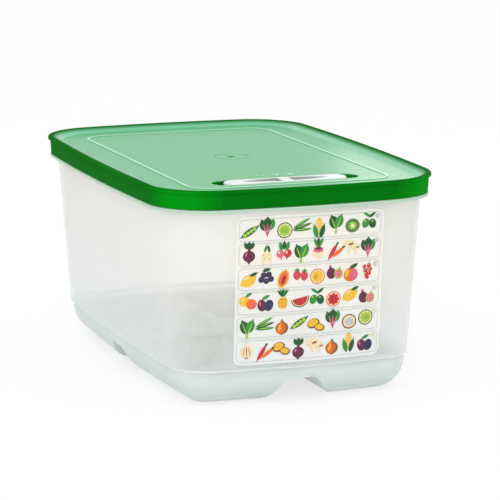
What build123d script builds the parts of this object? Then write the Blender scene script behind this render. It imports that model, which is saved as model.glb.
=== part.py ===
"""Vented produce keeper: a drafted, translucent box on four feet, a press-on lid with a
recessed deck, a vent shutter that slides in a pocket of the lid, and a chart label.
Millimetres. +Z is up, the origin is on the ground under the middle of the box, the short
front face with the chart looks along -Y, and the keeper is 195 wide along X."""

import os
from math import atan, cos, degrees, radians, sin, tan

from build123d import *

# Overall size, measured over the lip round the top of the lid. Every other outline is the
# lip's, drawn in by an inset
lid_width = 195.0
lid_length = 297.0
total_height = 140.0
lip_corner_radius = 41.2
side_bow = 4.7  # how far a long side of the lip bulges past a line between its corners
end_bow = 7.3  # the same for the two short ends

# Lid
lip_thickness = 2.0
lip_chamfer = 0.7
band_top_inset = 1.4
band_inset = 2.1
band_wall = 1.3
band_bottom = total_height - 12.0
roof_thickness = 2.6  # over the groove that takes the rim of the box
crest_width = 2.4
slope_width = 8.6
deck_depth = 3.1
deck_thickness = 1.6
plug_inset = 6.8
plug_wall = 1.6
plug_bottom = total_height - 10.5
catch_reach = 0.3
catch_length = 70.0  # of the four catches, one at the middle of each side

# Raised border, gate mark and vent pocket on the deck
border_width = 134.0
border_length = 238.0
border_radius = 16.0
border_bead = 1.8
border_height = 0.4
gate_radius = 12.0
gate_groove = 1.2
gate_depth = 0.2
gate_pip_radius = 3.0
gate_pip_depth = 0.9
pocket_length = 98.0
pocket_width = 18.0
pocket_depth = 4.5
pocket_y = -100.5
pocket_shell = 1.6

# Vent shutter, and the slots it works over
shutter_length = 82.0
shutter_width = 16.6
shutter_clearance = 0.3  # over the floor of its pocket
shutter_rise = 0.3  # above the deck
shutter_rounding = 0.6
shutter_wall = 1.6
shutter_hollow = 1.1
grip_width = 8.0
dish_length = 25.0
dish_depth = 2.1
dish_radius = 9.0
pad_centre = -23.8
pad_length = 12.4
leg_x = 13.0
leg_length = 6.0
leg_thickness = 2.6
leg_slot_length = 21.2
leg_slot_width = 3.4
hook_reach = 0.9
hook_height = 1.4
vent_slot_x = (-34.0, -28.0)
vent_slot_width = 2.6
vent_slot_length = 10.0

# Box
wall = 2.0
rim_top = total_height - roof_thickness - 0.3
rim_inset = 4.4
rim_wall = 2.0
flange_inset = 1.6
flange_thickness = 1.8
flange_top = band_bottom - 0.4
body_draft = 4.3
body_inset = 14.6  # of the drafted walls, where they stand on the step
step_height = 23.2
step_wall_rise = 1.6
base_width = 163.0  # across the middles of the sides
base_length = 265.0
base_toe = 4.5  # how far the corners lie inside the middles of the long sides
base_end_toe = 5.9  # the same for the two ends
base_rounding = 20.0  # of the upright corners and of the lower edge alike
base_middle_radius = 100.0

# Feet, left by two air channels that cross under the box. A foot's sides lean by the foot
# slope, and its plan reaches just past the sides of the box so that a channel's mouth flares
channel_height = 15.5
channel_half_width = 22.1  # at the ground, before the rounding
foot_slope = 43.5
foot_rounding = 13.7
channel_top_rounding = 6.0
foot_reach_x = 82.0
foot_reach_y = 133.0
foot_mouth_radius = 12.0
foot_outer_radius = 20.0

# Chart label on the front wall
chart_width = 98.0
chart_height = 95.0
chart_x = 2.2
chart_z = 74.4
chart_radius = 5.0
film = 0.12

deck_top = total_height - deck_depth
deck_bottom = deck_top - deck_thickness
pocket_bottom = deck_top - pocket_depth
shell_bottom = pocket_bottom - pocket_shell
leg_slot_centres = [(-leg_x, pocket_y), (leg_x, pocket_y)]


def outline(inset, z):
    """The lip's outline, a rounded rectangle with bowed sides, drawn in, at height z."""
    half_width = lid_width / 2 - inset
    half_length = lid_length / 2 - inset
    x = half_width - side_bow * (half_length / (lid_length / 2)) ** 2
    y = half_length - end_bow * (half_width / (lid_width / 2)) ** 2
    with BuildSketch(Plane.XY.offset(z)) as plan:
        with BuildLine():
            ThreePointArc((x, -y), (half_width, 0), (x, y))
            ThreePointArc((x, y), (0, half_length), (-x, y))
            ThreePointArc((-x, y), (-half_width, 0), (-x, -y))
            ThreePointArc((-x, -y), (0, -half_length), (x, -y))
        make_face()
        fillet(plan.vertices(), lip_corner_radius - inset)
    return plan.sketch


def slab(inset, low, high, mode=Mode.ADD):
    """Straight-sided slab of the lip's outline between two heights."""
    extrude(outline(inset, low), amount=high - low, mode=mode)


def catches(inset, z):
    """The parts of an outline that lie near the middles of its four sides, at height z."""
    with BuildSketch(Plane.XY.offset(z)) as middles:
        Rectangle(catch_length, lid_length)
        Rectangle(lid_width, catch_length)
        add(outline(inset, z), mode=Mode.INTERSECT)
    return middles.sketch


def widening(plan, low, high, angle):
    """Block that stands on a plan at its lower height and widens upwards by an angle."""
    with BuildPart() as block:
        extrude(plan, amount=high - low)
        draft(block.faces().filter_by(Axis.Z, reverse=True), Plane.XY.offset(low), -angle)
    return block.part


def body_block(inset, low):
    """The box's drafted walls from a low height up to the flange, drawn in by an inset."""
    plan_inset = body_inset + inset - (low - step_height) * tan(radians(body_draft))
    return widening(outline(plan_inset, low), low, flange_top, body_draft)


def base_outline(inset, z):
    """Outline of the base, whose straight sides toe in from their middles to the corners."""
    x = base_width / 2
    y = base_length / 2
    corner_x = x - base_toe
    corner_y = y - base_end_toe
    with BuildSketch(Plane.XY.offset(z)) as plan:
        with BuildLine():
            Polyline((x, 0), (corner_x, corner_y), (0, y), (-corner_x, corner_y), (-x, 0))
            mirror(about=Plane.XZ)
        make_face()
        if inset:
            offset(amount=-inset, kind=Kind.INTERSECTION)
        corners = plan.vertices().sort_by_distance((0, 0, z))
        fillet([v for v in corners if abs(v.X) > 20 and abs(v.Y) > 20], base_rounding - inset)
        middles = plan.vertices()
        fillet([v for v in middles if min(abs(v.X), abs(v.Y)) < 1], base_middle_radius)
    return plan.sketch


def base_block(inset, low, high):
    """The rounded base under the step, drawn in by an inset, before the feet are cut."""
    with BuildPart() as base:
        extrude(base_outline(inset, low), amount=high - low)
        fillet(base.edges().group_by(Axis.Z)[0], base_rounding - inset)
    return base.part


def feet_block(inset):
    """Four feet with the crossing channels between them, joined by a slab above. An inset
    draws everything in by that wall thickness."""
    lean = radians(foot_slope)
    plan_inset = inset * (1 - sin(lean)) / cos(lean)
    near = channel_half_width + plan_inset
    far_x = foot_reach_x - plan_inset
    far_y = foot_reach_y - plan_inset
    rounded_corners = (
        (far_x, near, foot_mouth_radius),
        (far_x, far_y, foot_outer_radius),
        (near, far_y, foot_mouth_radius),
    )
    with BuildSketch(Plane.XY.offset(inset)) as plan:
        with Locations((near, near)):
            Rectangle(far_x - near, far_y - near, align=(Align.MIN, Align.MIN))
        for x, y, radius in rounded_corners:
            corner = plan.vertices().sort_by_distance((x, y, inset))[0]
            fillet(corner, radius - plan_inset)
    slab_height = channel_height + inset
    with BuildPart() as feet:
        add(widening(plan.sketch, inset, slab_height, foot_slope))
        fillet(feet.edges().group_by(Axis.Z)[0], foot_rounding - inset)
        mirror(about=Plane.XZ)
        mirror(about=Plane.YZ)
        with BuildSketch(Plane.XY.offset(slab_height)):
            Rectangle(320, 420)
        extrude(amount=20)
        rims = feet.edges().filter_by_position(Axis.Z, slab_height, slab_height)
        rims = rims.filter_by_position(Axis.X, -150, 150)
        rims = rims.filter_by_position(Axis.Y, -200, 200)
        if inset:
            chamfer(rims, inset)
        else:
            fillet(rims, channel_top_rounding)
    return feet.part


# The inside of the base: pockets in the feet, and a raised cross over the channels
with BuildPart() as inner_base:
    add(base_block(wall, wall, step_height + step_wall_rise))
    add(feet_block(wall), mode=Mode.INTERSECT)

# The box: feet, drafted walls, flange and rim, then the inside taken out
with BuildPart() as container:
    add(base_block(0, 0, step_height))
    add(feet_block(0), mode=Mode.INTERSECT)
    add(body_block(0, step_height))
    slab(flange_inset, flange_top - flange_thickness, flange_top)
    slab(rim_inset, flange_top, rim_top)
    extrude(catches(rim_inset - catch_reach, rim_top - 3.4), amount=1.2)
    slab(rim_inset + rim_wall, flange_top, rim_top, Mode.SUBTRACT)
    add(body_block(wall, step_height + step_wall_rise), mode=Mode.SUBTRACT)
    add(inner_base.part, mode=Mode.SUBTRACT)

# The lid: band and plug hang from the crest on either side of the box's rim
lip_bottom = total_height - lip_thickness
roof = total_height - roof_thickness
band_draft = degrees(atan((band_inset - band_top_inset) / (lip_bottom - band_bottom)))
crest_slope = degrees(atan(slope_width / deck_depth))
with BuildPart() as lid:
    add(widening(outline(band_inset, band_bottom), band_bottom, lip_bottom, band_draft))
    slab(band_inset + band_wall, band_bottom, roof, Mode.SUBTRACT)
    extrude(catches(band_inset + band_wall - 0.4, band_bottom + 2.2), amount=1.2)
    slab(band_inset + band_wall + catch_reach, band_bottom, roof, Mode.SUBTRACT)
    slab(plug_inset, plug_bottom, roof)
    slab(plug_inset + plug_wall, plug_bottom, roof, Mode.SUBTRACT)
    slab(0, lip_bottom, total_height)
    chamfer(lid.edges().group_by(Axis.Z)[-1], lip_chamfer)
    slab(plug_inset + 0.4, deck_bottom, total_height)
    recess = outline(crest_width + slope_width, deck_top)
    add(widening(recess, deck_top, total_height, crest_slope), mode=Mode.SUBTRACT)
    # Pocket of the vent shutter, let down into the deck
    with BuildSketch(Plane.XY.offset(shell_bottom)):
        with Locations((0, pocket_y)):
            SlotOverall(pocket_length + 2 * pocket_shell, pocket_width + 2 * pocket_shell)
    extrude(amount=deck_bottom - shell_bottom)
    with BuildSketch(Plane.XY.offset(pocket_bottom)):
        with Locations((0, pocket_y)):
            SlotOverall(pocket_length, pocket_width)
    extrude(amount=pocket_depth, mode=Mode.SUBTRACT)
    # Slots in the pocket's floor, for the shutter's legs and for the air
    with BuildSketch(Plane.XY.offset(shell_bottom)):
        with Locations(leg_slot_centres):
            Rectangle(leg_slot_length, leg_slot_width)
        with Locations([(x, pocket_y) for x in vent_slot_x]):
            Rectangle(vent_slot_width, vent_slot_length)
    extrude(amount=pocket_shell, mode=Mode.SUBTRACT)
    # Raised border line
    with BuildSketch(Plane.XY.offset(deck_top)):
        RectangleRounded(border_width + border_bead, border_length + border_bead, border_radius)
        RectangleRounded(
            border_width - border_bead,
            border_length - border_bead,
            border_radius - border_bead,
            mode=Mode.SUBTRACT,
        )
    extrude(amount=border_height)
    # Round mark where the plastic entered the mould: a groove and a pip
    with BuildSketch(Plane.XY.offset(deck_top)):
        Circle(gate_radius)
        Circle(gate_radius - gate_groove, mode=Mode.SUBTRACT)
    extrude(amount=-gate_depth, mode=Mode.SUBTRACT)
    with BuildSketch(Plane.XY.offset(deck_top)):
        Circle(gate_pip_radius)
    extrude(amount=-gate_pip_depth, taper=30, mode=Mode.SUBTRACT)

# The vent shutter, drawn half open
shutter_bottom = pocket_bottom + shutter_clearance
shutter_top = deck_top + shutter_rise
hook_top = shell_bottom - shutter_clearance
with BuildPart() as vent_slider:
    with BuildSketch(Plane.XY.offset(shutter_bottom)):
        with Locations((0, pocket_y)):
            SlotOverall(shutter_length, shutter_width)
    extrude(amount=shutter_top - shutter_bottom)
    chamfer(vent_slider.edges().group_by(Axis.Z)[-1], shutter_rounding)
    # Thumb dishes that sink towards the grip bar
    for side in (1, -1):
        bar_face = Plane(
            origin=(side * grip_width / 2, pocket_y, shutter_top - dish_depth),
            x_dir=(0, side, 0),
            z_dir=(side, 0, dish_depth / dish_length),
        )
        with BuildSketch(bar_face):
            with Locations((0, dish_radius)):
                Circle(dish_radius)
        extrude(amount=dish_length + 10, mode=Mode.SUBTRACT)
    # Hollow underneath, so that air passes, with a pad that shuts the vent slots
    with BuildSketch(Plane.XY.offset(shutter_bottom)):
        with Locations((0, pocket_y)):
            Rectangle(shutter_length - shutter_width, shutter_width - 2 * shutter_wall)
        with Locations((pad_centre, pocket_y)):
            Rectangle(pad_length, shutter_width, mode=Mode.SUBTRACT)
        with Locations([(-leg_x + 3, pocket_y), (leg_x, pocket_y)]):
            Rectangle(leg_length + 2, leg_thickness + 2, mode=Mode.SUBTRACT)
    extrude(amount=shutter_hollow, mode=Mode.SUBTRACT)
    # Legs through the floor of the pocket, with hooks under it
    with BuildSketch(Plane.XY.offset(hook_top)):
        with Locations(leg_slot_centres):
            Rectangle(leg_length, leg_thickness)
    extrude(amount=shutter_bottom - hook_top)
    with BuildSketch(Plane.XY.offset(hook_top - hook_height)):
        with Locations(leg_slot_centres):
            Rectangle(leg_length, leg_thickness + 2 * hook_reach)
    extrude(amount=hook_height)

# The chart: a film moulded onto the front wall
with BuildPart() as produce_chart:
    add(body_block(-film, step_height))
    add(body_block(0, step_height), mode=Mode.SUBTRACT)
    with BuildSketch(Plane.XZ.offset(lid_length / 2 - 30)):
        with Locations((chart_x, chart_z)):
            RectangleRounded(chart_width, chart_height, chart_radius)
    extrude(amount=40, mode=Mode.INTERSECT)

container.part.label = "container"
lid.part.label = "lid"
vent_slider.part.label = "vent_slider"
produce_chart.part.label = "produce_chart"

os.makedirs("parts", exist_ok=True)
export_step(container.part, "parts/container.step")
export_step(lid.part, "parts/lid.step")
export_step(vent_slider.part, "parts/vent_slider.step")
export_step(produce_chart.part, "parts/produce_chart.step")
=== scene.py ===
# %% [markdown]
# A produce keeper is a fridge box for fruit and vegetables. It is moulded from milky plastic,
# stands on four feet so that cold air passes under it, and has a green press-fit lid with a small
# sliding air vent. This lesson loads the finished CAD model as a fixed frame, gives each of its
# pieces the plastic it is moulded from, prints a chart of pictures on the front wall, and sets
# up the camera and the lamps. The shapes themselves stay as the CAD model has them.

# %% Load the CAD model and keep its size
import math

import bpy
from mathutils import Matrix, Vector


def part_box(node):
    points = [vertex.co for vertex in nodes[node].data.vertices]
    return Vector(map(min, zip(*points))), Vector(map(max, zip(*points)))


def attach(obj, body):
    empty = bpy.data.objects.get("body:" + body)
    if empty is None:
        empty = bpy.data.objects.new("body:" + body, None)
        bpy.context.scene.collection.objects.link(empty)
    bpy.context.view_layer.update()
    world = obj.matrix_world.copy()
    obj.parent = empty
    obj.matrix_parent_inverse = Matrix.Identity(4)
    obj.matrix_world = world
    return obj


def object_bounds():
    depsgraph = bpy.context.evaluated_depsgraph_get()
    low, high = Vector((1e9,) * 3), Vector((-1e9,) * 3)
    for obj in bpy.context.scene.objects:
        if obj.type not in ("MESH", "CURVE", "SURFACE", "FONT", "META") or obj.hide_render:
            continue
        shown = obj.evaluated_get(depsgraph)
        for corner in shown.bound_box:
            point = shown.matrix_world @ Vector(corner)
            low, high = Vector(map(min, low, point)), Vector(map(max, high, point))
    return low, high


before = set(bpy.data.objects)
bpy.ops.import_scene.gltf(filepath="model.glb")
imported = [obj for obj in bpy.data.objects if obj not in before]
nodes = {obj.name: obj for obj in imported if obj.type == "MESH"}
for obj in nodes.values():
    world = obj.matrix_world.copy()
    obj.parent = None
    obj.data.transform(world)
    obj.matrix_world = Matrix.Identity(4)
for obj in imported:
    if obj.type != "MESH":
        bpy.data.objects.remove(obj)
cad_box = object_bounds()
print("pieces:", sorted(nodes))
print("box of the CAD model:", cad_box)

# %% [markdown]
# The camera comes first, because everything else is judged through it. The photograph was taken
# with a long lens from in front, a little to the left and a little above the lid, so that the
# long sides hardly draw together. The numbers come from fitting one camera to the outlines of
# the lid, the step and the feet. A long lens far away gives the same picture as that fit.

# %% Camera at the photograph's viewing angle
camera_turn = math.radians(-20.37)
camera_rise = math.radians(10.9)
towards_camera = Vector((
    math.sin(camera_turn) * math.cos(camera_rise),
    -math.cos(camera_turn) * math.cos(camera_rise),
    math.sin(camera_rise),
))
bpy.ops.object.camera_add(location=(-0.5794, -1.59675, 0.40053))
camera = bpy.context.object
camera.name = "camera"
camera.rotation_euler = towards_camera.to_track_quat("Z", "Y").to_euler()
camera.data.sensor_width = 36.0
camera.data.lens = 185.6
camera.data.clip_start = 0.05
bpy.context.scene.camera = camera
bpy.context.scene.view_settings.view_transform = "Standard"
print("camera at", tuple(round(v, 3) for v in camera.location))

# %% [markdown]
# Every material below is built from a few nodes, so one small function adds a node, fills its
# sockets and plugs in its links. Colours are written as hex values, as a paint chart gives
# them, and one function turns them into the linear numbers that a renderer counts with. The
# steps that come back again and again, such as a ramp, a blend or a test of height, get a
# function each.

# %% Helpers for colours and nodes
def linear(hex_colour):
    """Linear red, green, blue and alpha from an sRGB hex value."""
    parts = [int(hex_colour[i:i + 2], 16) / 255 for i in (1, 3, 5)]
    return tuple(
        p / 12.92 if p <= 0.04045 else ((p + 0.055) / 1.055) ** 2.4 for p in parts
    ) + (1.0,)


def node(tree, kind, values=None, links=None, **settings):
    """Adds one node. settings are its options, values fill sockets, links plug them in."""
    made = tree.nodes.new(kind)
    for name, value in settings.items():
        setattr(made, name, value)
    for name, value in (values or {}).items():
        made.inputs[name].default_value = value
    for name, socket in (links or {}).items():
        tree.links.new(socket, made.inputs[name])
    return made


def new_material(name):
    """An empty material with its output node, ready for its shader."""
    material = bpy.data.materials.new(name)
    material.use_nodes = True
    material.node_tree.nodes.clear()
    return material, material.node_tree, material.node_tree.nodes.new("ShaderNodeOutputMaterial")


def axes(tree, vector):
    """The X, Y and Z sockets of a vector."""
    return node(tree, "ShaderNodeSeparateXYZ", None, {"Vector": vector}).outputs


def calculate(tree, operation, first, second=None):
    """The result of one sum on sockets. The second value may be a number."""
    made = node(tree, "ShaderNodeMath", None, {0: first}, operation=operation)
    if isinstance(second, (int, float)):
        made.inputs[1].default_value = second
    elif second:
        tree.links.new(second, made.inputs[1])
    return made.outputs[0]


def all_of(tree, tests):
    """1 where every test holds, 0 elsewhere. A test is a socket, an operation and a limit."""
    result = None
    for measure, operation, limit in tests:
        test = calculate(tree, operation, measure, limit)
        result = calculate(tree, "MULTIPLY", result, test) if result else test
    return result


def between(tree, measure, low, high):
    """1 where a measure lies between two limits, 0 elsewhere."""
    return all_of(tree, ((measure, "GREATER_THAN", low), (measure, "LESS_THAN", high)))


def ramp(tree, measure, start, end, low=0.0, high=1.0):
    """Goes evenly from low to high while a measure goes from start to end."""
    limits = {"From Min": start, "From Max": end, "To Min": low, "To Max": high}
    return node(tree, "ShaderNodeMapRange", limits, {"Value": measure}).outputs["Result"]


def blend(tree, amount, first, second):
    """Mixes two colours, each a hex value or a socket. An amount of 0 gives the first."""
    made = node(tree, "ShaderNodeMix", None, {0: amount}, data_type="RGBA")
    for index, colour in ((6, first), (7, second)):
        if isinstance(colour, str):
            made.inputs[index].default_value = linear(colour)
        else:
            tree.links.new(colour, made.inputs[index])
    return made.outputs[2]


def noise(tree, place, scale, detail):
    """Soft noise with about `scale` blotches to the metre."""
    values = {"Scale": scale, "Detail": detail}
    return node(tree, "ShaderNodeTexNoise", values, {"Vector": place}).outputs["Fac"]


def dress(piece, material):
    """Gives every slot of a piece the same material."""
    if not piece.material_slots:
        piece.data.materials.append(material)
    for slot in piece.material_slots:
        slot.material = material

# %% [markdown]
# The box is natural polypropylene, injection moulded in a polished mould. With no pigment it is
# milky: some light goes straight through, so the step in the far wall shows faintly, and most
# of it scatters, so the walls glow. Two things change with the place on the box, and each has
# its own function: the tone of the milk, and how much light comes straight through it.

# %% Tone and clearness of the milky plastic
step_height = 0.0232
flange_low = 0.1257
flange_high = 0.1278


def milky_tone(tree, place, height, above_step, faces_up, flange, tint):
    """The colour of the base, walls and flange, with painted light on the flange and the floor.
    """
    # Flow clouding, about 40 mm across, that moulding leaves in unpigmented plastic
    cloudy = blend(tree, noise(tree, place, 25.0, 3.0), tint, "#F9F9F7")
    # Towards its foot a wall takes on some of the cool tone of the base
    foot = ramp(tree, height, step_height, 0.085, 1.0, 0.0)
    walls = blend(tree, foot, cloudy, "#F9FDFF")
    # The base is a cool green on its sides and underside; its upward faces are painted paler
    # Painted light: the paler upward faces lift the floor inside out of the shade of the lid
    base = blend(tree, faces_up, "#E3EFED", "#FDFFFF")
    body = blend(tree, above_step, base, walls)
    # The flange is painted with the green light that the lid just over it throws on it, all round
    return blend(tree, flange, body, "#BFE2CA")


def clearness(tree, height, above_step, faces_up, flange, clear_share):
    """The share of the light that comes straight through a wall."""
    # A wall seen at a slant is a longer way through the milk, so less comes straight through
    slant = node(tree, "ShaderNodeLayerWeight", {"Blend": 0.5}).outputs["Facing"]
    share = ramp(tree, slant, 0.0, 1.0, clear_share, clear_share * 0.6)
    # The sharp edge of the step scatters all the light it gets
    edge = between(tree, height, step_height - 0.0005, step_height + 0.0002)
    shares = (
        # The base is thicker, and the inside of the floor is duller than its outside
        ramp(tree, above_step, 0.0, 1.0, 0.4, 1.0),
        ramp(tree, edge, 0.0, 1.0, 1.0, 0.0),
        # The upper half of a wall is a little milkier than its foot
        ramp(tree, height, 0.055, 0.105, 1.0, 0.8),
        ramp(tree, faces_up, 0.0, 1.0, 1.0, 0.4),
        ramp(tree, flange, 0.0, 1.0, 1.0, 0.4),
    )
    for part in shares:
        share = calculate(tree, "MULTIPLY", share, part)
    return share

# %% [markdown]
# The plastic itself is a mixture. A glossy plastic shader gives the polished surface, a
# translucent one the light that comes from behind, and a transparent one the light that comes
# straight through. This looks like milky plastic without the noise of rough glass.

# %% Natural polypropylene for the box
def milky_plastic(name, clear_share, tint="#FFFCF9"):
    """Unpigmented polypropylene, with its tone and its clearness from the place on the box."""
    material, tree, output = new_material(name)
    place = node(tree, "ShaderNodeTexCoord").outputs["Object"]
    normal = node(tree, "ShaderNodeNewGeometry").outputs["Normal"]
    height = axes(tree, place)["Z"]
    above_step = ramp(tree, height, step_height - 0.006, step_height)
    faces_up = ramp(tree, axes(tree, normal)["Z"], 0.05, 0.4)
    flange = between(tree, height, flange_low, flange_high)
    tone = milky_tone(tree, place, height, above_step, faces_up, flange, tint)
    share = clearness(tree, height, above_step, faces_up, flange, clear_share)
    # The polished mould still leaves an orange peel of about 2 mm
    peel = node(
        tree, "ShaderNodeBump", {"Strength": 0.05, "Distance": 0.0002},
        {"Height": noise(tree, place, 500.0, 2.0)},
    )
    gloss = node(
        tree, "ShaderNodeBsdfPrincipled", {"Roughness": 0.24, "IOR": 1.49},
        {"Base Color": tone, "Normal": peel.outputs["Normal"]},
    )
    glow = node(
        tree, "ShaderNodeBsdfTranslucent", None,
        {"Color": tone, "Normal": peel.outputs["Normal"]},
    )
    milk = node(
        tree, "ShaderNodeMixShader", {0: 0.2},
        {1: gloss.outputs["BSDF"], 2: glow.outputs["BSDF"]},
    )
    clear = node(tree, "ShaderNodeBsdfTransparent")
    wall = node(
        tree, "ShaderNodeMixShader", None,
        {0: share, 1: milk.outputs["Shader"], 2: clear.outputs["BSDF"]},
    )
    tree.links.new(wall.outputs["Shader"], output.inputs["Surface"])
    return material


natural_polypropylene = milky_plastic("natural_polypropylene", 0.77)
dress(nodes["container"], natural_polypropylene)
print("box:", natural_polypropylene.name)

# %% [markdown]
# The lid is pigmented polypropylene. Its band and lip are polished, and its deck is spark
# eroded in the mould, which leaves a fine matte grain. Seen almost edge on, that grain spreads
# the white of the room over the deck, so it looks pale mint while the band stays deep green.
# First comes a mask that says where the grain is, from the height and the tilt of the surface.

# %% Where the lid is grained
lid_green, tree, output = new_material("moulded_green_polypropylene")
place = node(tree, "ShaderNodeTexCoord").outputs["Object"]
height = axes(tree, place)["Z"]
tilt = axes(tree, node(tree, "ShaderNodeNewGeometry").outputs["Normal"])
lid_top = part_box("lid")[1][2]
deck_height = lid_top - 0.0031
# The grain covers the deck and runs out up the slope round it. The crest and the band have none
upward = ramp(tree, tilt["Z"], 0.75, 0.9)
low_down = ramp(tree, height, lid_top - 0.0003, lid_top - 0.0020)
on_top = calculate(tree, "MULTIPLY", upward, low_down)
# The low steps on the flat of the deck, at the border line and the gate mark, have it too.
# The flat is kept apart by its place, because the slope round it reaches the same heights
size = node(tree, "ShaderNodeVectorMath", None, {0: place}, operation="ABSOLUTE")
from_middle = axes(tree, size.outputs[0])
flat = (
    (from_middle["X"], "LESS_THAN", 0.0725),
    (from_middle["Y"], "LESS_THAN", 0.1235),
)
on_flat = all_of(tree, flat + ((height, "GREATER_THAN", deck_height - 0.0004),))
on_deck = calculate(tree, "MAXIMUM", on_top, on_flat)
print("deck at", round(deck_height, 5), "m")

# %% [markdown]
# The colours follow the same mask. The band is a deep green, with a painted highlight that makes
# it brighter round its corners. The grain is painted bluer and paler, a painted sheen besides the
# coat's, most of all on the slope, and what stands up from the deck, the border line and the vent
# signs, gets a pale painted highlight.

# %% Colours of the lid
streaks = noise(tree, place, 18.0, 4.0)
polished = blend(tree, streaks, "#00630A", "#006B0D")
# The product of the normal's X and Y tells the corners from the straight sides
turned = calculate(tree, "MULTIPLY", tilt["X"], tilt["Y"])
corner = ramp(tree, calculate(tree, "ABSOLUTE", turned), 0.08, 0.48)
# Painted highlight: the band's corners are painted a brighter green
band_green = blend(tree, corner, polished, "#00860F")
# Painted sheen: the deck is painted paler and bluer than the band, besides the coat's own sheen
deck_green_and_sheen = blend(tree, streaks, "#08A055", "#18B065")
level = ramp(tree, tilt["Z"], 0.95, 0.985)
# Painted sheen: the slope round the deck, less level, is painted paler still
grain_green_and_sheen = blend(tree, level, "#72C497", deck_green_and_sheen)
grained = blend(tree, on_deck, band_green, grain_green_and_sheen)
# Painted highlight: what stands up from the flat of the deck is painted pale
raised = all_of(tree, flat + ((height, "GREATER_THAN", deck_height + 0.00008),))
lid_colour = blend(tree, raised, grained, "#A9DDBE")

# %% [markdown]
# The gloss comes from a clear coat, because the coat can be strong on the grain, where it
# mirrors the room softly, and nearly nothing on the band, which then keeps its deep colour.

# %% Grain and gloss of the lid
# Spark erosion leaves pits of about a third of a millimetre, drawn at 0.6 mm so they show
grain_depth = calculate(tree, "MULTIPLY", noise(tree, place, 1700.0, 2.0), on_deck)
bump = node(
    tree, "ShaderNodeBump", {"Strength": 0.25, "Distance": 0.0002}, {"Height": grain_depth},
)
shader = node(
    tree, "ShaderNodeBsdfPrincipled",
    {
        "IOR": 1.49, "Specular IOR Level": 0.0, "Coat Roughness": 0.22, "Coat IOR": 1.5,
    },
    {
        "Base Color": lid_colour, "Roughness": ramp(tree, on_deck, 0.0, 1.0, 0.14, 0.27),
        "Coat Weight": ramp(tree, on_deck, 0.0, 1.0, 0.05, 0.84),
        "Normal": bump.outputs["Normal"], "Coat Normal": bump.outputs["Normal"],
    },
)
tree.links.new(shader.outputs["BSDF"], output.inputs["Surface"])
dress(nodes["lid"], lid_green)
print("lid:", lid_green.name)

# %% [markdown]
# The vent slider is white polypropylene from a plain mould, with a soft shine. Its two thumb
# dishes get painted shade, greyer than the rim, from a mask of their place just under the top.

# %% White polypropylene for the vent slider
slider_white, tree, output = new_material("moulded_white_polypropylene")
place = node(tree, "ShaderNodeTexCoord").outputs["Object"]
white = blend(tree, noise(tree, place, 60.0, 3.0), "#E4EAE8", "#DBE3E1")
slider_low, slider_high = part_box("vent_slider")
slider_y = (slider_low[1] + slider_high[1]) / 2
dish_half_length = 0.0305
dish_half_width = 0.0062
x, y, z = axes(tree, place)
# Painted shade: the thumb dishes are painted a greyer colour than the rim
painted_dish_shade = calculate(
    tree, "MULTIPLY",
    between(tree, z, slider_high[2] - 0.0025, slider_high[2] - 0.00003),
    calculate(
        tree, "MULTIPLY",
        between(tree, y, slider_y - dish_half_width, slider_y + dish_half_width),
        between(tree, x, -dish_half_length, dish_half_length),
    ),
)
shader = node(
    tree, "ShaderNodeBsdfPrincipled", {"Roughness": 0.3, "IOR": 1.49},
    {"Base Color": blend(tree, painted_dish_shade, white, "#8B9A95")},
)
tree.links.new(shader.outputs["BSDF"], output.inputs["Surface"])
dress(nodes["vent_slider"], slider_white)
print("slider:", slider_white.name)

# %% [markdown]
# The chart is printed on a film that lies in the mould and bonds to the wall. It is the same
# plastic as the box, a little less clear and a little warmer, so the same function makes it.

# %% The chart's film
chart_film = milky_plastic("clear_polypropylene_film", 0.42, "#FFFCF4")
dress(nodes["produce_chart"], chart_film)
print("film:", chart_film.name)

# %% [markdown]
# Three small signs stand on the deck behind the slider and say shut, half open and open. They
# are a quarter of a millimetre high, too fine for the CAD model, so they are made here: each
# starts as a flat circle, gets its ring by insetting, and is pulled up into a low bead.

# %% Vent signs on the deck
sign_radius = 0.0024
sign_line = 0.0008
sign_height = 0.00025
sign_pitch = 0.010
sign_y = -0.0825


def only(piece):
    """Makes one piece the whole selection and the active one."""
    bpy.ops.object.select_all(action="DESELECT")
    piece.select_set(True)
    bpy.context.view_layer.objects.active = piece


def settle(piece, name, body):
    """Bakes a finished piece's place into its mesh, names it and hands it to its body."""
    only(piece)
    bpy.ops.object.transform_apply(location=True, rotation=True, scale=True)
    piece.name = name
    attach(piece, body)


def sign(name, x, filled_side):
    """A raised ring, filled in on the right, all over, or not at all."""
    bpy.ops.object.select_all(action="DESELECT")
    bpy.ops.mesh.primitive_circle_add(
        vertices=48, radius=sign_radius, fill_type="NGON", location=(x, sign_y, deck_height),
    )
    ring = bpy.context.object
    bpy.ops.object.mode_set(mode="EDIT")
    bpy.ops.mesh.select_all(action="SELECT")
    bpy.ops.mesh.inset(thickness=sign_line)
    if filled_side == "none":
        bpy.ops.mesh.delete(type="FACE")
    elif filled_side == "right":
        bpy.ops.mesh.bisect(
            plane_co=(x, sign_y, deck_height), plane_no=(1, 0, 0), clear_inner=False,
        )
        bpy.ops.object.mode_set(mode="OBJECT")
        for face in ring.data.polygons:
            middle = face.center.xy.length
            face.select = middle < sign_radius * 0.6 and face.center.x < 0
        bpy.ops.object.mode_set(mode="EDIT")
        bpy.ops.mesh.delete(type="FACE")
    bpy.ops.mesh.select_all(action="SELECT")
    bpy.ops.mesh.extrude_region_move(TRANSFORM_OT_translate={"value": (0, 0, sign_height)})
    bpy.ops.mesh.select_all(action="SELECT")
    bpy.ops.mesh.normals_make_consistent(inside=False)
    bpy.ops.object.mode_set(mode="OBJECT")
    ring.data.materials.append(lid_green)
    settle(ring, name, "lid")
    return ring


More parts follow.
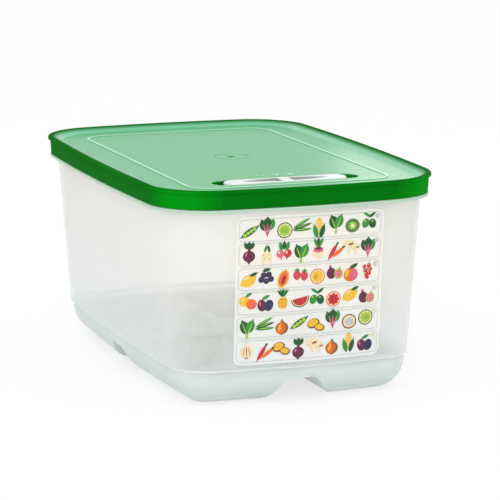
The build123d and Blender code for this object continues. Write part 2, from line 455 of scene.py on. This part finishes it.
sign("vent_sign_shut", -sign_pitch, "none")
sign("vent_sign_half_open", 0.0, "right")
sign("vent_sign_open", sign_pitch, "all")
print("deck at", round(deck_height, 5), "m, signs", sign_height * 1000, "mm high")

# %% [markdown]
# The chart on the front wall shows what may be kept in the box, and how far to open the vent
# for it. It is printed on a clear film that the mould bonds to the wall. The pictures here are
# plain drawings of fruit and vegetables in twelve inks. Each ink lies on the film as a thin flat
# shape: it is drawn on a plane in front of the keeper, then pressed onto the film, which leans
# and bulges a little, with a Shrinkwrap modifier. Each layer of ink lies a twentieth of a
# millimetre over the one below.

# %% Inks
ink_colours = {
    "leaf": "#0C4F20",
    "grass": "#2B8433",
    "lime": "#98BC40",
    "red": "#B9262A",
    "wine": "#5A1A3C",
    "orange": "#D9641C",
    "gold": "#DDB02C",
    "brown": "#7A4A2A",
    "cream": "#DDCDA6",
    "rose": "#C85A78",
    "navy": "#262C4C",
    "grey": "#AEB6B4",
}


def printing_ink(name, hex_colour):
    """Screen ink, a little uneven where the mesh of the screen let more of it through."""
    material, tree, output = new_material("printing_ink_" + name)
    place = node(tree, "ShaderNodeTexCoord").outputs["Object"]
    # Blotches of about 3 mm, in which the ink covers 5 percent less
    blotches = noise(tree, place, 330.0, 2.0)
    full = linear(hex_colour)
    thin = tuple(c + 0.05 * (1 - c) for c in full[:3]) + (1.0,)
    colour = node(
        tree, "ShaderNodeMix", {6: full, 7: thin}, {0: blotches}, data_type="RGBA",
    )
    shader = node(
        tree, "ShaderNodeBsdfPrincipled",
        {"Roughness": 0.5, "IOR": 1.5, "Specular IOR Level": 0.1},
        {"Base Color": colour.outputs[2]},
    )
    tree.links.new(shader.outputs["BSDF"], output.inputs["Surface"])
    return material


inks = {name: printing_ink(name, colour) for name, colour in ink_colours.items()}
print("inks:", len(inks))

# %% [markdown]
# Almost every shape on the chart is an oval or a dot. One function draws an oval: a circle of
# twenty corners is turned, stretched and, for a leaf or a root, drawn out to a point. Another
# copies a dot to the places where it repeats. Each shape notes its layer of ink.

# %% One shape of ink
drawing_plane = cad_box[0][1] - 0.01
picture_scale = 0.95
unit = 0.001 * picture_scale
ink_layers = {1: [], 2: [], 3: [], 4: []}


def select_point(piece, index):
    """Selects one corner of a mesh and nothing else, and goes into edit mode."""
    mesh = piece.data
    for part in (mesh.vertices, mesh.edges, mesh.polygons):
        part.foreach_set("select", [False] * len(part))
    mesh.vertices[index].select = True
    bpy.ops.object.mode_set(mode="EDIT")


def dab(ink, x, z, wide, high, turn=0.0, top=0.0, bottom=0.0, layer=1, half=False):
    """A flat oval of ink, drawn at picture_scale, in millimetres and degrees clockwise. Its
    ends may be drawn out to points, top and bottom, and half keeps only its lower half."""
    bpy.ops.object.select_all(action="DESELECT")
    bpy.ops.mesh.primitive_circle_add(
        vertices=20, radius=unit / 2, fill_type="NGON",
        location=(x * unit, drawing_plane, z * unit),
        rotation=(math.radians(90), math.radians(turn), 0),
    )
    shape = bpy.context.object
    shape.scale = (wide, high, 1)
    bpy.ops.object.transform_apply(location=False, rotation=True, scale=True)
    up = Vector((math.sin(math.radians(turn)), 0, math.cos(math.radians(turn))))
    for end, reach in ((1, top), (-1, bottom)):
        if reach:
            tip = max(shape.data.vertices, key=lambda v: end * v.co.dot(up)).index
            select_point(shape, tip)
            bpy.ops.transform.translate(value=up * (end * reach * unit))
            bpy.ops.object.mode_set(mode="OBJECT")
    if half:
        bpy.ops.object.mode_set(mode="EDIT")
        bpy.ops.mesh.select_all(action="SELECT")
        bpy.ops.mesh.bisect(plane_co=shape.location, plane_no=up, clear_outer=True)
        bpy.ops.object.mode_set(mode="OBJECT")
    shape.data.materials.append(inks[ink])
    ink_layers[layer].append(shape)
    return shape


def dots(ink, x, z, size, places, layer=2):
    """Round dots, modelled once and copied to their places about a middle."""
    first = dab(ink, x + places[0][0], z + places[0][1], size, size, layer=layer)
    for right, up in places[1:]:
        dot = first.copy()
        dot.data = first.data.copy()
        dot.location = ((x + right) * unit, drawing_plane, (z + up) * unit)
        bpy.context.collection.objects.link(dot)
        ink_layers[layer].append(dot)


def ring_of(count, radius):
    """Places evenly round a circle."""
    turns = [2 * math.pi * i / count for i in range(count)]
    return [(radius * math.sin(t), radius * math.cos(t)) for t in turns]

# %% [markdown]
# Each picture is a small function that puts a few dabs of ink round a middle point, as one
# would paint with a round brush: the body first, then what lies on it, then the lights.

# %% Pictures of green produce
def pea_pod(x, z):
    dab("leaf", x, z, 4.2, 12.5, 58, 1.4, 1.4)
    dots("lime", x, z, 2.5, [(-3.3, -2.1), (-1.1, -0.7), (1.1, 0.7), (3.3, 2.1)])
    dab("grass", x + 5.6, z + 3.6, 0.9, 2.6, 30)


def spinach(x, z):
    dab("leaf", x - 1.6, z + 1.2, 6.4, 9.0, -22, 1.6)
    dab("grass", x + 2.2, z + 1.6, 5.8, 8.4, 20, 1.6, 0, 2)
    dab("lime", x - 1.6, z, 0.7, 9.5, -22, 0, 0, 2)
    dab("lime", x + 1.7, z, 0.7, 9.5, 20, 0, 0, 3)
    dab("lime", x, z - 5.0, 2.0, 3.4, 0)


def sweetcorn(x, z):
    dab("gold", x, z + 1.2, 5.4, 11.0, 0, 0.8)
    kernels = [(u, v) for v in (-2.6, -0.9, 0.8, 2.5) for u in (-1.5, 0, 1.5)]
    dots("cream", x, z + 1.4, 1.0, kernels)
    dab("grass", x - 2.3, z - 2.4, 3.4, 8.6, -16, 2.0, 0, 3)
    dab("leaf", x + 2.3, z - 2.4, 3.4, 8.6, 16, 2.0, 0, 3)


def chard(x, z):
    dab("leaf", x - 2.4, z + 2.0, 5.6, 7.6, -26, 1.0)
    dab("grass", x + 2.4, z + 2.2, 5.4, 7.4, 26, 1.0)
    dab("leaf", x, z + 3.2, 5.6, 7.8, 0, 1.0, 0, 2)
    for turn, right in ((-20, -1.3), (0, 0.0), (20, 1.3)):
        dab("rose", x + right, z - 1.4, 0.9, 9.0, turn, 0, 0, 3)


def bean_pods(x, z):
    pods = ((62, -0.4, 2.2, "grass"), (74, 0.3, 0.0, "leaf"), (88, 0.2, -2.2, "grass"))
    for turn, right, up, ink in pods:
        dab(ink, x + right, z + up, 2.1, 12.0, turn, 1.0, 1.0)
        dab("lime", x + right, z + up + 0.3, 0.5, 8.0, turn, 0, 0, 2)


def kiwi_slice(x, z):
    dab("brown", x, z, 10.4, 9.4)
    dab("grass", x, z, 9.3, 8.3, layer=2)
    dab("lime", x, z, 6.2, 5.4, layer=3)
    dots("navy", x, z, 0.8, ring_of(10, 2.7), 4)
    dab("cream", x, z, 2.6, 2.2, layer=4)


def olives(x, z):
    dab("grass", x - 2.4, z - 1.0, 5.2, 6.6, 20)
    dab("leaf", x + 2.6, z - 1.4, 5.2, 6.6, -15)
    dots("lime", x, z, 1.3, [(-3.0, 0.6), (2.2, 0.2)])
    dab("grass", x - 1.4, z + 4.6, 2.0, 5.6, -60, 1.2, 0.6)
    dab("leaf", x + 2.2, z + 4.4, 2.0, 5.6, 55, 1.2, 0.6)

# %% Pictures of yellow and orange produce
def citrus_slice(x, z, peel, flesh):
    dab(peel, x, z, 10.6, 10.6)
    dab("cream", x, z, 9.2, 9.2, layer=2)
    for right, up in ring_of(8, 2.35):
        turn = math.degrees(math.atan2(right, up))
        dab(flesh, x + right, z + up, 2.5, 3.7, turn, 0, 0.5, 3)


def lemon(x, z):
    dab("gold", x, z, 7.8, 10.4, 62, 1.3, 1.3)
    dab("cream", x - 1.4, z + 1.7, 1.6, 4.0, 62, 0, 0, 2)
    dab("leaf", x + 3.4, z + 4.2, 2.2, 5.2, 70, 1.0, 0.5, 2)


def peach(x, z):
    dab("orange", x, z - 0.6, 10.4, 9.6)
    dab("rose", x + 2.2, z - 1.0, 5.4, 7.4, 12, layer=2)
    dab("gold", x - 2.8, z + 0.6, 2.6, 5.0, 15, layer=2)
    dab("leaf", x + 1.8, z + 5.0, 2.6, 6.0, 62, 1.2, 0.4, 2)
    dab("brown", x - 0.2, z + 4.6, 0.8, 2.4, -8, layer=3)


def apricots(x, z):
    dab("gold", x - 2.4, z + 0.8, 7.0, 7.0)
    dab("orange", x + 2.5, z - 1.4, 7.2, 7.0, layer=2)
    dab("rose", x + 3.6, z - 2.2, 2.6, 4.0, 20, layer=3)
    dab("cream", x - 3.6, z + 2.2, 1.4, 2.4, 30, layer=3)
    dab("grass", x + 0.4, z + 5.0, 2.0, 4.6, 60, 1.0, 0.4, 3)


def papaya_half(x, z):
    dab("gold", x, z, 7.6, 12.4, 18, 0.8)
    dab("orange", x, z, 6.0, 10.4, 18, 0.6, 0, 2)
    dab("red", x + 0.1, z - 0.6, 2.8, 6.4, 18, 0.4, 0, 3)
    seeds = [(-0.8, -1.9), (0.2, -2.2), (-0.3, -0.6), (0.6, -0.9), (0.5, 0.8), (1.1, 1.4)]
    dots("navy", x, z - 0.6, 0.9, seeds, 4)


def pineapple(x, z):
    dab("gold", x, z - 1.9, 6.8, 8.6)
    eyes = [(u, v) for v in (-2.4, 0, 2.4) for u in (-1.8, 0, 1.8)]
    eyes_between = [(u, v) for v in (-1.2, 1.2) for u in (-2.6, -0.9, 0.9, 2.6)]
    dots("brown", x, z - 1.9, 0.8, eyes)
    dots("orange", x, z - 1.9, 0.8, eyes_between)
    for turn in (-38, -20, 20, 38, 0):
        lean = math.radians(turn)
        ink = "leaf" if turn in (-38, 0, 38) else "grass"
        leaf_x = x + 3.0 * math.sin(lean)
        leaf_z = z + 2.6 + 2.4 * math.cos(lean)
        dab(ink, leaf_x, leaf_z, 1.7, 5.2, turn, 1.2, 0, 2)

# %% Pictures of red produce
def radishes(x, z):
    for right, turn, ink in ((-2.6, -14, "rose"), (2.6, 14, "red")):
        dab(ink, x + right, z - 1.2, 5.4, 5.6, turn, 0, 2.0)
        dab("cream", x + right - 0.9, z - 0.4, 1.2, 2.0, turn, layer=2)
        dab("grass", x + right * 0.9, z + 3.6, 2.6, 5.6, turn, 1.0, 0, 2)
    dab("leaf", x, z + 4.2, 2.6, 5.4, 0, 1.0, 0, 3)


def beetroot(x, z):
    dab("wine", x, z - 1.8, 8.4, 7.6, 0, 0, 1.8)
    dab("rose", x - 1.9, z - 0.6, 1.4, 2.6, 25, layer=2)
    for turn in (-24, 0, 24):
        lean = math.radians(turn)
        right, up = math.sin(lean), math.cos(lean)
        dab("wine", x + 2.2 * right, z + 1.8 + 1.6 * up, 0.8, 4.6, turn, layer=2)
        dab("leaf", x + 5.0 * right, z + 1.8 + 3.8 * up, 2.8, 4.4, turn, 0.8, 0, 3)


def chillies(x, z):
    dab("red", x - 1.6, z - 0.4, 2.9, 11.0, 30, 0, 2.0)
    dab("orange", x + 2.4, z - 0.8, 2.7, 9.6, 52, 0, 1.8, 2)
    dab("leaf", x + 1.4, z + 4.8, 1.4, 3.0, 30, layer=3)
    dab("leaf", x + 6.0, z + 2.4, 1.3, 2.6, 60, layer=3)


def watermelon_slice(x, z):
    dab("leaf", x, z + 2.6, 13.0, 13.0, -12, layer=1, half=True)
    dab("cream", x, z + 2.6, 11.6, 11.6, -12, layer=2, half=True)
    dab("red", x, z + 2.6, 10.6, 10.6, -12, layer=3, half=True)
    dots("navy", x, z, 0.8, [(-2.8, 0.6), (-1.2, -0.6), (0.6, 0.4), (1.4, -1.0), (3.0, 1.2)], 4)


def raspberries(x, z):
    drupelets = [(-1.2, 1.2), (1.0, 1.4), (0, 0), (-1.4, -0.6), (1.3, -0.8), (0, -1.9)]
    for right, up in ((-2.5, 0.0), (2.6, -0.8)):
        dab("red", x + right, z + up, 5.2, 6.2, 0, 0, 0.6)
        dots("rose", x + right, z + up, 1.1, drupelets)
        dab("grass", x + right, z + up + 3.4, 3.6, 1.5, 0, 0.8, 0, 2)


def currants(x, z):
    dab("grass", x + 0.4, z + 1.0, 0.7, 11.0, 14)
    berries = [
        (-2.2, 2.2), (1.0, 2.8), (-1.4, -0.4), (2.2, 0.2), (-0.8, -3.0), (1.4, -2.4), (0.0, -5.0),
    ]
    glints = [(-2.6, 2.7), (0.6, 3.3), (-1.8, 0.1), (1.8, 0.7), (-1.2, -2.5), (1.0, -1.9)]
    dots("red", x, z, 2.9, berries)
    dots("cream", x, z, 0.7, glints, 3)


def blood_orange(x, z):
    citrus_slice(x, z, "orange", "red")

# %% Pictures of purple and blue produce
def plums(x, z):
    dab("wine", x - 2.3, z - 0.8, 6.2, 8.2, -14)
    dab("navy", x + 2.5, z - 1.0, 6.0, 7.8, 16, layer=2)
    dab("rose", x - 3.6, z + 0.6, 1.2, 3.2, -10, layer=2)
    dab("grass", x + 0.2, z + 4.6, 2.2, 5.2, 64, 1.0, 0.4, 3)


def blueberries(x, z):
    places = [(-3.2, -1.6), (0.2, -2.6), (3.4, -1.4), (-1.6, 1.4), (1.9, 1.6)]
    dots("navy", x, z, 4.1, places, 1)
    dots("wine", x, z + 0.4, 1.4, places, 2)
    dab("leaf", x + 0.2, z + 4.8, 2.4, 5.0, 78, 1.0, 0.6, 2)


def fig(x, z):
    dab("wine", x - 2.2, z - 0.6, 6.6, 7.6, -10, 2.6)
    dab("lime", x + 3.0, z - 1.2, 6.4, 7.0, 10, 1.8, 0, 2)
    dab("rose", x + 2.9, z - 1.4, 4.8, 5.2, 10, 1.0, 0, 3)
    dots("cream", x + 2.9, z - 1.6, 0.6, ring_of(6, 1.4), 4)


def turnip(x, z):
    dab("cream", x, z - 1.8, 8.6, 7.8, 0, 0, 2.0)
    dab("rose", x, z - 0.2, 7.2, 3.8, layer=2)
    dab("wine", x, z + 0.8, 4.8, 1.9, layer=3)
    for turn, ink in ((-26, "grass"), (26, "grass"), (0, "leaf")):
        lean = math.radians(turn)
        right, up = math.sin(lean), math.cos(lean)
        dab(ink, x + 3.6 * right, z + 1.4 + 3.4 * up, 2.3, 6.2, turn, 1.0, 0, 4)

# %% Pictures of white and brown produce
def mushrooms(x, z):
    for right, up, size in ((-2.2, 0.6, 1.0), (3.0, -1.4, 0.74)):
        dab("cream", x + right, z + up - 2.4 * size, 3.0 * size, 6.2 * size)
        dab("brown", x + right, z + up + 0.4 * size, 8.0 * size, 2.0 * size, layer=2)
        dab("cream", x + right, z + up + 1.9 * size, 9.0 * size, 5.0 * size, layer=3)
        spot_x = x + right + 1.6 * size
        dab("brown", spot_x, z + up + 1.4 * size, 3.6 * size, 1.4 * size, -14, layer=4)


def garlic(x, z):
    dab("cream", x, z - 1.2, 9.0, 8.2, 0, 3.4)
    dab("rose", x - 1.9, z - 1.0, 0.6, 6.4, 12, layer=2)
    dab("rose", x + 1.9, z - 1.0, 0.6, 6.4, -12, layer=2)
    dab("brown", x, z - 0.8, 0.6, 7.0, layer=2)
    dab("brown", x, z - 5.2, 2.4, 1.0, layer=2)


def onion(x, z):
    dab("brown", x, z - 0.8, 9.0, 8.4, 0, 2.4, 0.6)
    dab("orange", x - 0.6, z - 0.8, 6.4, 7.4, 0, 1.6, 0.3, 2)
    dab("gold", x - 1.6, z - 0.4, 1.4, 5.4, 10, layer=3)
    dab("brown", x + 1.0, z - 0.8, 0.5, 6.8, -8, layer=3)


def potatoes(x, z):
    dab("brown", x - 1.8, z + 0.8, 9.0, 6.6, -18)
    dab("gold", x - 2.2, z + 1.2, 7.4, 4.8, -18, layer=2)
    dab("brown", x + 2.6, z - 2.2, 7.4, 5.2, 14, layer=3)
    dab("gold", x + 2.4, z - 1.9, 5.9, 3.7, 14, layer=4)
    dots("brown", x, z, 0.6, [(-4.0, 1.6), (-1.4, 2.2), (-2.2, 0.2)], 3)


def parsnips(x, z):
    dab("cream", x - 1.8, z - 1.4, 3.6, 9.4, 14, 0, 2.6)
    dab("cream", x + 2.0, z - 1.6, 3.4, 8.8, -12, 0, 2.4)
    dots("brown", x, z, 0.6, [(-2.2, 0.6), (-1.6, -1.6), (2.2, 0.2), (2.0, -2.4)])
    dab("grass", x - 0.8, z + 4.6, 1.8, 4.6, 18, 0.8, 0, 2)
    dab("leaf", x + 1.4, z + 4.4, 1.8, 4.6, -16, 0.8, 0, 2)


def coconut_half(x, z):
    dab("brown", x, z, 10.6, 10.2)
    dab("cream", x, z + 0.1, 8.8, 8.4, layer=2)
    dab("grey", x + 0.2, z - 0.2, 6.2, 5.8, layer=3)
    dots("wine", x, z, 0.5, ring_of(12, 4.8), 2)


def lime_slice(x, z):
    citrus_slice(x, z, "leaf", "lime")


def orange_slice(x, z):
    citrus_slice(x, z, "orange", "gold")

# %% [markdown]
# The chart has six rows, each in a thin rounded frame that ends in a round sign: shut, half
# open or open, like the signs on the deck. The rows are stacked from the film's own size, and
# the pictures stand a little up and down in them, as on a hand-made chart.

# %% Rows of pictures and their frames
film_low, film_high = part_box("produce_chart")
film_margin = 1.6
row_gap = 1.2
rows = [
    ("shut", [pea_pod, chard, lime_slice, bean_pods, sweetcorn, spinach, kiwi_slice, olives]),
    ("shut", [beetroot, parsnips, radishes, spinach, turnip, chillies, mushrooms, chard]),
    ("half", [lemon, blueberries, papaya_half, raspberries, orange_slice, fig, peach, currants]),
    ("half", [apricots, plums, pineapple, watermelon_slice, olives, blood_orange, lemon, fig]),
    ("open", [spinach, bean_pods, onion, pea_pod, potatoes, chard, coconut_half, lime_slice]),
    ("open", [garlic, chillies, potatoes, beetroot, mushrooms, onion, sweetcorn, plums]),
]
left = film_low[0] * 1000 + film_margin
right = film_high[0] * 1000 - film_margin
top = film_high[2] * 1000 - film_margin
bottom = film_low[2] * 1000 + film_margin
row_height = (top - bottom + row_gap) / len(rows) - row_gap


def row_frame(middle_x, middle_z, wide, high, line=0.45, corner=3.0):
    """A thin rounded frame: a plate with rounded corners, its inside taken out."""
    bpy.ops.object.select_all(action="DESELECT")
    bpy.ops.mesh.primitive_plane_add(
        size=0.001, location=(middle_x / 1000, drawing_plane, middle_z / 1000),
        rotation=(math.radians(90), 0, 0),
    )
    frame_piece = bpy.context.object
    frame_piece.scale = (wide, high, 1)
    bpy.ops.object.transform_apply(location=False, rotation=True, scale=True)
    bpy.ops.object.mode_set(mode="EDIT")
    bpy.ops.mesh.select_all(action="SELECT")
    bpy.ops.mesh.bevel(offset=corner / 1000, segments=6, affect="VERTICES")
    bpy.ops.mesh.inset(thickness=line / 1000)
    bpy.ops.mesh.delete(type="FACE")
    bpy.ops.object.mode_set(mode="OBJECT")
    # The long stretches are cut into short ones, so that they can follow the wall. In the edge
    # mode the short edges between two long ones stay unselected and whole
    for edge in frame_piece.data.edges:
        ends = [frame_piece.data.vertices[i].co for i in edge.vertices]
        edge.select = (ends[0] - ends[1]).length > 0.006
    bpy.context.tool_settings.mesh_select_mode = (False, True, False)
    bpy.ops.object.mode_set(mode="EDIT")
    bpy.ops.mesh.subdivide(number_cuts=24)
    bpy.ops.object.mode_set(mode="OBJECT")
    bpy.context.tool_settings.mesh_select_mode = (True, False, False)
    frame_piece.data.materials.append(inks["grey"])
    ink_layers[1].append(frame_piece)


def vent_sign(kind, x, z):
    """A small printed disc whose light part shows how far the vent is open."""
    dab("grey", x, z, 3.2, 3.2, layer=2)
    dab("cream", x, z, 2.4, 2.4, layer=3)
    if kind == "half":
        dab("grey", x, z, 2.4, 2.4, 90, layer=4, half=True)
    if kind == "shut":
        dab("grey", x, z, 2.4, 2.4, layer=4)


for index, (vent, pictures) in enumerate(rows):
    middle = top - row_height / 2 - index * (row_height + row_gap)
    row_frame((left + right) / 2, middle, right - left, row_height)
    sign_z = middle + row_height / 2 - 3.0
    vent_sign(vent, (right - 3.0) / picture_scale, sign_z / picture_scale)
    pitch = (right - left - 4.0) / len(pictures)
    for place_in_row, picture in enumerate(pictures):
        step = 0.9 if (place_in_row + index) % 2 else -0.9
        across = left + 1.0 + (place_in_row + 0.5) * pitch
        picture(across / picture_scale, (middle + step) / picture_scale)
print("shapes in each layer of ink:", {layer: len(made) for layer, made in ink_layers.items()})

# %% [markdown]
# The film leans with the wall and bulges a little, so the flat drawings are pressed onto it as
# a pad printer would. All shapes of one layer are joined first, then the modifier moves every
# corner straight back until it lies on the film.

# %% Press the inks onto the film
def press_on(layer, made):
    """Joins a layer of ink, lays it on the film and lifts it clear of the layer below."""
    bpy.ops.object.select_all(action="DESELECT")
    for shape in made:
        shape.select_set(True)
    bpy.context.view_layer.objects.active = made[0]
    bpy.ops.object.join()
    print_layer = bpy.context.object
    bpy.ops.object.transform_apply(location=True, rotation=True, scale=True)
    press = print_layer.modifiers.new("press", "SHRINKWRAP")
    press.target = nodes["produce_chart"]
    press.wrap_method = "PROJECT"
    press.use_project_y = True
    press.use_positive_direction = True
    press.use_negative_direction = False
    press.offset = 0.00005 * layer
    bpy.ops.object.modifier_apply(modifier=press.name)
    settle(print_layer, "chart_print_layer_" + str(layer), "container")
    return print_layer


for layer, made in ink_layers.items():
    print_layer = press_on(layer, made)
    depths = [v.co.y for v in print_layer.data.vertices]
    print(print_layer.name, len(print_layer.data.polygons), "faces, y", min(depths), max(depths))

# %% [markdown]
# The room is a plain studio: a pale floor, an even white world, two soft lamps and a small
# card. The world that polished surfaces mirror is darker on the camera's side, as a studio is,
# which keeps the lid's band a deep colour, while the bright side behind is what its deck mirrors.

# %% Floor, world and lamps
bpy.ops.mesh.primitive_plane_add(size=6.0, location=(0, 0, 0))
floor = bpy.context.object
floor.name = "floor"
floor_paint, tree, output = new_material("pale_floor")
paint = node(
    tree, "ShaderNodeBsdfPrincipled",
    {"Base Color": linear("#FEFEFE"), "Roughness": 0.9, "IOR": 1.3},
)
# The sweep is lit from below too. It looks white and keeps about a third of each shadow,
# but throws no more light on the keeper
glow = node(tree, "ShaderNodeEmission", {"Color": (1, 1, 1, 1), "Strength": 1.0})
path = node(tree, "ShaderNodeLightPath")
seen = path.outputs["Is Camera Ray"]
for kind in ("Is Glossy Ray", "Is Transmission Ray"):
    either = {0: seen, 1: path.outputs[kind]}
    seen = node(tree, "ShaderNodeMath", None, either, operation="MAXIMUM").outputs[0]
part = node(tree, "ShaderNodeMath", {1: 0.7}, {0: seen}, operation="MULTIPLY")
lit = node(
    tree, "ShaderNodeMixShader", None,
    {0: part.outputs[0], 1: paint.outputs["BSDF"], 2: glow.outputs["Emission"]},
)
tree.links.new(lit.outputs["Shader"], output.inputs["Surface"])
dress(floor, floor_paint)

world = bpy.data.worlds.new("studio")
bpy.context.scene.world = world
world.use_nodes = True
tree = world.node_tree
tree.nodes.clear()
output = tree.nodes.new("ShaderNodeOutputWorld")
place = node(tree, "ShaderNodeTexCoord")
split = node(tree, "ShaderNodeSeparateXYZ", None, {"Vector": place.outputs["Generated"]})
behind = node(
    tree, "ShaderNodeMapRange",
    {"From Min": -0.6, "From Max": 0.5, "To Min": 0.2, "To Max": 1.0},
    {"Value": split.outputs["Y"]}, interpolation_type="SMOOTHSTEP",
)
overhead = node(
    tree, "ShaderNodeMapRange",
    {"From Min": 0.35, "From Max": 0.75, "To Min": 1.0, "To Max": 0.2},
    {"Value": split.outputs["Z"]}, interpolation_type="SMOOTHSTEP",
)
strength = node(
    tree, "ShaderNodeMath", None,
    {0: behind.outputs["Result"], 1: overhead.outputs["Result"]}, operation="MULTIPLY",
)
# What a polished surface mirrors is dark overhead and on the camera's side, and white behind
mirrored = node(tree, "ShaderNodeBackground", None, {"Strength": strength.outputs[0]})
mirrored.inputs["Color"].default_value = (1, 1, 1, 1)
white = node(tree, "ShaderNodeBackground", {"Strength": 1.0, "Color": (1, 1, 1, 1)})
path = node(tree, "ShaderNodeLightPath")
both = node(
    tree, "ShaderNodeMixShader", None,
    {
        0: path.outputs["Is Glossy Ray"], 1: white.outputs["Background"],
        2: mirrored.outputs["Background"],
    },
)
tree.links.new(both.outputs["Shader"], output.inputs["Surface"])


def softbox(name, spot, target, size, watts, tint):
    """A square soft lamp at spot that faces target."""
    bpy.ops.object.light_add(type="AREA", location=spot)
    lamp = bpy.context.object
    lamp.name = name
    lamp.data.size = size
    lamp.data.energy = watts
    lamp.data.color = linear(tint)[:3]
    lamp.rotation_euler = (Vector(spot) - Vector(target)).to_track_quat("Z", "Y").to_euler()
    return lamp


softbox("key_softbox", (-1.4, -0.5, 1.3), (0, 0, 0.08), 0.9, 3.0, "#F0F6FF")
softbox("front_softbox", (-0.5, -1.6, 0.75), (0, -0.1, 0.06), 0.6, 7.2, "#FFF5E6")
# A small card low behind on the right, which shows in the deck's front right corner
softbox("back_card", (0.62, 0.8, 0.33), (0.05, -0.08, 0.14), 0.4, 0.45, "#FFFFFF")
